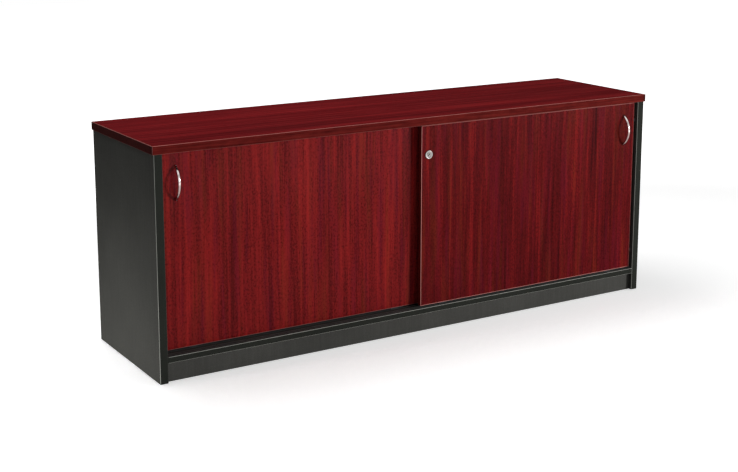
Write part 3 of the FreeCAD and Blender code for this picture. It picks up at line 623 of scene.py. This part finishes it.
def loft(rings, closed=False):  # quads between equal rings; open ends get a fan of triangles
    count, total = len(rings[0]), len(rings) * len(rings[0])
    vertices, faces = [Vector(point) for ring in rings for point in ring], []
    for i in range(len(rings) - (0 if closed else 1)):
        for k in range(count):
            here, after = i * count + k, i * count + (k + 1) % count
            faces.append((here, (here + count) % total, (after + count) % total, after))
    if not closed:
        for start in (0, total - count):
            faces += [(len(vertices), start + k, start + (k + 1) % count) for k in range(count)]
            vertices.append(sum(vertices[start:start + count], Vector((0, 0, 0))) / count)
    return vertices, faces


def ringAt(centre, side, up, reach, corners):  # reach is a radius, or gives one for an angle from up
    ring = []
    for angle in turns(corners):
        radius = reach(angle) if callable(reach) else reach
        ring.append(centre + side * radius * math.sin(angle) + up * radius * math.cos(angle))
    return ring


def ringsAlong(start, along, up, profile, corners):  # profile: distances along an axis, and radius or reach
    side = along.cross(up)
    return [ringAt(start + along * depth, side, up, reach, corners) for depth, reach in profile]


right, inward, upright = Vector((1, 0, 0)), Vector((0, 1, 0)), Vector((0, 0, 1))


# Bow handles: a crescent of rounded section that widens to its feet on the door

handleLook = dict(
    footLength=8.5, middleThickness=4.4, middleWidth=6.8, flare=2.5, squareness=2.2,
    sections=56, corners=28,
)


def arcPoint(halfLength, rise, share):  # a point at share, -1 to 1, of an arc from foot to foot
    radius = (halfLength ** 2 + rise ** 2) / (2 * rise)
    angle = share * math.atan2(halfLength, radius - rise)
    return Vector((radius * math.cos(angle) - (radius - rise), radius * math.sin(angle)))


def rounded(value, power):  # keeps the sign of value, so that a circle becomes a squarer oval
    return math.copysign(abs(value) ** power, value)


def makeHandle(side):
    look = handleLook
    low, high = boxOf(side + "_handle")
    middle = (low + high) / 2
    halfLength, rise = (high.z - low.z) / 2, high.y - low.y
    widest, narrowest = (high.x - low.x) / 2, look["middleWidth"] / 2
    power = 2 / look["squareness"]
    rings = []
    for i in range(look["sections"] + 1):
        share = 2 * i / look["sections"] - 1
        outer = arcPoint(halfLength, rise, share)
        inner = arcPoint(halfLength - look["footLength"], rise - look["middleThickness"], share)
        centre, arm = (outer + inner) / 2, (outer - inner) / 2
        width = narrowest + (widest - narrowest) * abs(share) ** look["flare"]
        ring = []
        for angle in turns(look["corners"]):
            across = rounded(math.sin(angle), power) * width
            out, up = centre + arm * rounded(math.cos(angle), power)
            ring.append((middle.x + across, high.y - max(out, 0.0), middle.z + up))
        rings.append(ring)
    makePiece(side + "BowHandle", loft(rings), side + "_handle", side + "_door", bowChrome)


makeHandle("left")
makeHandle("right")
print("handles made")


# Cylinder lock: a dished rosette on the door, and a plug with a keyway that turns in it

lockLook = dict(
    corners=96, rosetteThickness=2.5, barrelRadius=9.5, barrelBevel=0.6, endWall=2.0, play=0.12,
    # profiles: depth behind the rosette's front, and distance out from the bore for the dish, in from the
    # edge for the rim and the plug's face, and how far the keyway widens
    dish=((1.15, 0.0), (0.8, 0.25), (0.75, 1.1), (0.45, 3.4), (0.4, 3.7), (0.12, 3.95), (0.0, 4.4)),
    rim=((0.0, 1.6), (0.12, 0.9), (0.5, 0.3), (1.1, 0.0)),
    plugFace=((0.35, 1.3), (0.35, 0.7), (0.5, 0.25), (0.9, 0.0)),
    keyway=((12.0, 0.0), (0.75, 0.0), (0.45, 0.25), (0.4, 0.5)), keywayHalfLength=4.25, keywayHalfWidth=1.0,
    neckRadius=4.5, neckReach=0.45, squareHalf=2.95,
)


def keywayReach(margin):
    halfLength, halfWidth = lockLook["keywayHalfLength"] + margin, lockLook["keywayHalfWidth"] + margin
    offset = halfLength - halfWidth

    def reach(angle):
        along, across = abs(math.cos(angle - keywayAngle)), abs(math.sin(angle - keywayAngle))
        if across * offset >= along * halfWidth:  # the ray leaves through a straight side
            return halfWidth / across
        return offset * along + math.sqrt(halfWidth ** 2 - (offset * across) ** 2)

    return reach


def squareReach(halfSide):
    def reach(angle):
        return halfSide / max(abs(math.cos(angle)), abs(math.sin(angle)))

    return reach


def makeLock():
    look = lockLook
    low, high = boxOf("lock_barrel")
    plugLow, plugHigh = boxOf("lock_plug")
    front = Vector(((low.x + high.x) / 2, low.y, (low.z + high.z) / 2))
    rim, length = (high.x - low.x) / 2, high.y - low.y
    plug, plugLength = (plugHigh.x - plugLow.x) / 2, plugHigh.y - plugLow.y
    bore, floorDepth = plug + look["play"], length - look["endWall"]
    flange, barrel, neck = look["rosetteThickness"], look["barrelRadius"], look["neckRadius"]
    neckHole, bevel = neck + look["play"], look["barrelBevel"]

    profile = [(floorDepth, bore)] + [(depth, bore + out) for depth, out in look["dish"]]
    profile += [(depth, rim - back) for depth, back in look["rim"]]
    profile += [(flange, rim), (flange, barrel), (length - bevel, barrel), (length, barrel - bevel)]
    profile += [(length, neckHole), (floorDepth, neckHole)]
    shape = loft(ringsAlong(front, inward, upright, profile, look["corners"]), closed=True)
    makePiece("lockBarrel", shape, "lock_barrel", "right_door", lockNickel)

    shoulder, neckEnd = floorDepth - look["play"], length + look["neckReach"]
    profile = [(depth, keywayReach(margin)) for depth, margin in look["keyway"]]
    profile += [(depth, plug - back) for depth, back in look["plugFace"]]
    profile += [(shoulder, plug), (shoulder, neck), (neckEnd, neck)]
    profile += [(depth, squareReach(look["squareHalf"])) for depth in (neckEnd, plugLength)]
    shape = loft(ringsAlong(front, inward, upright, profile, look["corners"]))
    makePiece("lockPlug", shape, "lock_plug", "lock_core", plugNickel)


makeLock()
print("lock made")


# Coil springs under the guide pins in the tops of the doors; a pin pressed down shortens its spring, but
# these are built at one length

springLook = dict(wireRadius=0.4, turns=7, closedPitch=0.84, stepsPerTurn=28, corners=10, travel=10.0)


def makeSpring(side, place):
    look = springLook
    node = side + "_guide_spring_" + place
    low, high = boxOf(node)
    foot = Vector(((low.x + high.x) / 2, (low.y + high.y) / 2, low.z))
    wire, count, closedPitch = look["wireRadius"], look["turns"], look["closedPitch"]
    coil, length = (high.x - low.x) / 2 - wire, high.z - low.z
    openPitch = (length - 2 * wire - 2 * closedPitch) / (count - 2)  # the first and last turns are closed
    rings = []
    for i in range(count * look["stepsPerTurn"] + 1):
        turn = i / look["stepsPerTurn"]
        closedTurns = min(turn, 1) + max(turn - count + 1, 0)
        openTurns = min(max(turn - 1, 0), count - 2)
        rise = wire + closedPitch * closedTurns + openPitch * openTurns
        outward = right * math.cos(2 * math.pi * turn) + inward * math.sin(2 * math.pi * turn)
        centre = foot + upright * rise + outward * coil
        rings.append(ringAt(centre, upright, outward, wire, look["corners"]))
    name = side + place.capitalize() + "Spring"
    spring = makePiece(name, loft(rings), node, side + "_door", springSteel)
    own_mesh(spring)


for side in ("left", "right"):
    for place in ("outer", "inner"):
        makeSpring(side, place)
print("springs made")


# Wood screws that hold the divider, each with a hexagon socket in a flat head

screwLook = dict(
    backHeights=(177.5, 372.5, 567.5), bottomDepths=(-113.0, 164.0), corners=24,
    socket=2.3, socketDepth=2.4, lipDepth=0.35, lipWidth=0.75,
    headRadius=4.95, headBevel=0.4, headHeight=2.9, neck=0.05,
    length=47.5, pitch=3.0, shankRadius=2.9, rootRadius=2.3, tipLength=1.0, tipRadius=1.0,
)


def hexagonReach(halfWidth):
    def reach(angle):
        return halfWidth / math.cos((angle + math.pi / 6) % (math.pi / 3) - math.pi / 6)

    return reach


def screwProfile():  # depth below the head's face, and radius or reach
    look = screwLook
    socket, head, bevel, height = look["socket"], look["headRadius"], look["headBevel"], look["headHeight"]
    length, pitch, root = look["length"], look["pitch"], look["rootRadius"]
    profile = [(look["socketDepth"], hexagonReach(socket)), (look["lipDepth"], hexagonReach(socket))]
    profile += [(0.0, socket + look["lipWidth"]), (0.0, head - bevel), (bevel, head), (height, head)]
    depth = height + look["neck"]
    while depth < length - 2 * pitch:  # thread roots and crests
        profile += [(depth, root), (depth + pitch / 2, look["shankRadius"])]
        depth += pitch
    return profile + [(depth, root), (length - look["tipLength"], root), (length, look["tipRadius"])]


def makeDividerScrews():
    look = screwLook
    low, high = boxOf("divider_screws")
    middle = (low.x + high.x) / 2
    places = [(Vector((middle, high.y, height)), -inward, upright) for height in look["backHeights"]]
    places += [(Vector((middle, depth, low.z)), upright, inward) for depth in look["bottomDepths"]]
    vertices, faces = [], []
    for start, along, up in places:
        points, screwFaces = loft(ringsAlong(start, along, up, screwProfile(), look["corners"]))
        faces += [tuple(len(vertices) + k for k in face) for face in screwFaces]
        vertices += points
    makePiece("dividerScrews", (vertices, faces), "divider_screws", "carcass", zincSteel)


makeDividerScrews()
print("screws made")


# Camera, at the height of someone standing to the left of the credenza

cameraLook = dict(
    place=(-2.3038, -3.6369, 1.3917), yaw=31.592, pitch=10.944,
    lens=66.385, sensor=36.0, shiftY=-0.12, clipEnd=60.0,
)


def makeCamera():
    look = cameraLook
    data = bpy.data.cameras.new("camera")
    data.lens = look["lens"]
    data.sensor_width = look["sensor"]
    data.sensor_fit = "HORIZONTAL"
    data.shift_y = look["shiftY"]
    data.clip_end = look["clipEnd"]
    camera = bpy.data.objects.new("camera", data)
    camera.location = look["place"]
    camera.rotation_euler = (math.radians(90 - look["pitch"]), 0, math.radians(-look["yaw"]))
    bpy.context.scene.collection.objects.link(camera)
    bpy.context.scene.camera = camera


# Studio: a pale floor, soft lamps and an even sky

skyStrength = 0.11
floorLook = dict(
    tone=(0.86, 0.86, 0.86, 1.0), size=24.0,
    glow=0.5, farGlow=0.6, glowStart=1.5, glowEnd=2.4, ovalness=0.6,
)
lampLook = (  # name, place, target, size, watts, spread in degrees
    ("keyLamp", (4.1, -4.7, 1.5), (0.0, 0.0, 0.35), (0.9, 0.9), 268.0, 180),
    ("frontLamp", (0.8, -4.8, 1.3), (0.0, 0.0, 0.35), (2.0, 1.4), 14.0, 180),
    ("sideLamp", (-4.2, 0.3, 0.5), (-0.9, 0.0, -0.05), (0.7, 0.3), 2.1, 22),
    ("topLamp", (-0.8, 0.9, 3.2), (-0.4, 0.1, 0.6), (3.0, 1.6), 76.0, 180),
)


def makeSky():  # dim as a light, and white where it is seen
    world = bpy.data.worlds.new("sky")
    world.use_nodes = True
    bpy.context.scene.world = world
    sky = Graph(world.node_tree)
    background = world.node_tree.nodes["Background"]
    background.inputs["Color"].default_value = (1.0, 1.0, 1.0, 1.0)
    seen = sky.rays("Is Camera Ray", "Is Glossy Ray", "Is Transmission Ray")
    sky.feed(background.inputs["Strength"], seen * (1.0 - skyStrength) + skyStrength)


def makeFloor():
    look = floorLook
    half = look["size"] / 2
    mesh = bpy.data.meshes.new("floor")
    corners = [(-half, -half, 0), (half, -half, 0), (half, half, 0), (-half, half, 0)]
    mesh.from_pydata(corners, [], [(0, 1, 2, 3)])
    floor = bpy.data.objects.new("floor", mesh)
    bpy.context.scene.collection.objects.link(floor)
    finish = Finish("floorPaint", Base_Color=look["tone"], Roughness=0.9, Specular_IOR_Level=0.1)
    x, y, z = finish.split(finish.place())
    away = ((x * look["ovalness"]) ** 2.0 + y ** 2.0) ** 0.5  # an oval, which keeps the shadow
    far = away.stepUp(look["glowStart"], look["glowEnd"])
    seen = finish.rays("Is Camera Ray", "Is Glossy Ray")
    strength = seen * (far * look["farGlow"] + look["glow"])
    glow = finish.node("ShaderNodeEmission", None, {"Strength": strength})
    paint = Signal(finish, finish.shader.outputs[0])
    both = finish.node("ShaderNodeAddShader", None, {0: paint, 1: glow})
    finish.feed(finish.tree.nodes["Material Output"].inputs["Surface"], both)
    dress(floor, finish.material)


def makeLamps():
    for name, place, target, size, power, spread in lampLook:
        data = bpy.data.lights.new(name, "AREA")
        data.shape = "RECTANGLE"
        data.size, data.size_y = size
        data.energy = power
        data.spread = math.radians(spread)
        lamp = bpy.data.objects.new(name, data)
        lamp.location = place
        lamp.rotation_euler = (Vector(target) - Vector(place)).to_track_quat("-Z", "Y").to_euler()
        bpy.context.scene.collection.objects.link(lamp)


makeCamera()
makeSky()
makeFloor()
makeLamps()
bpy.context.scene.view_settings.view_transform = "Standard"
print("camera and studio ready")
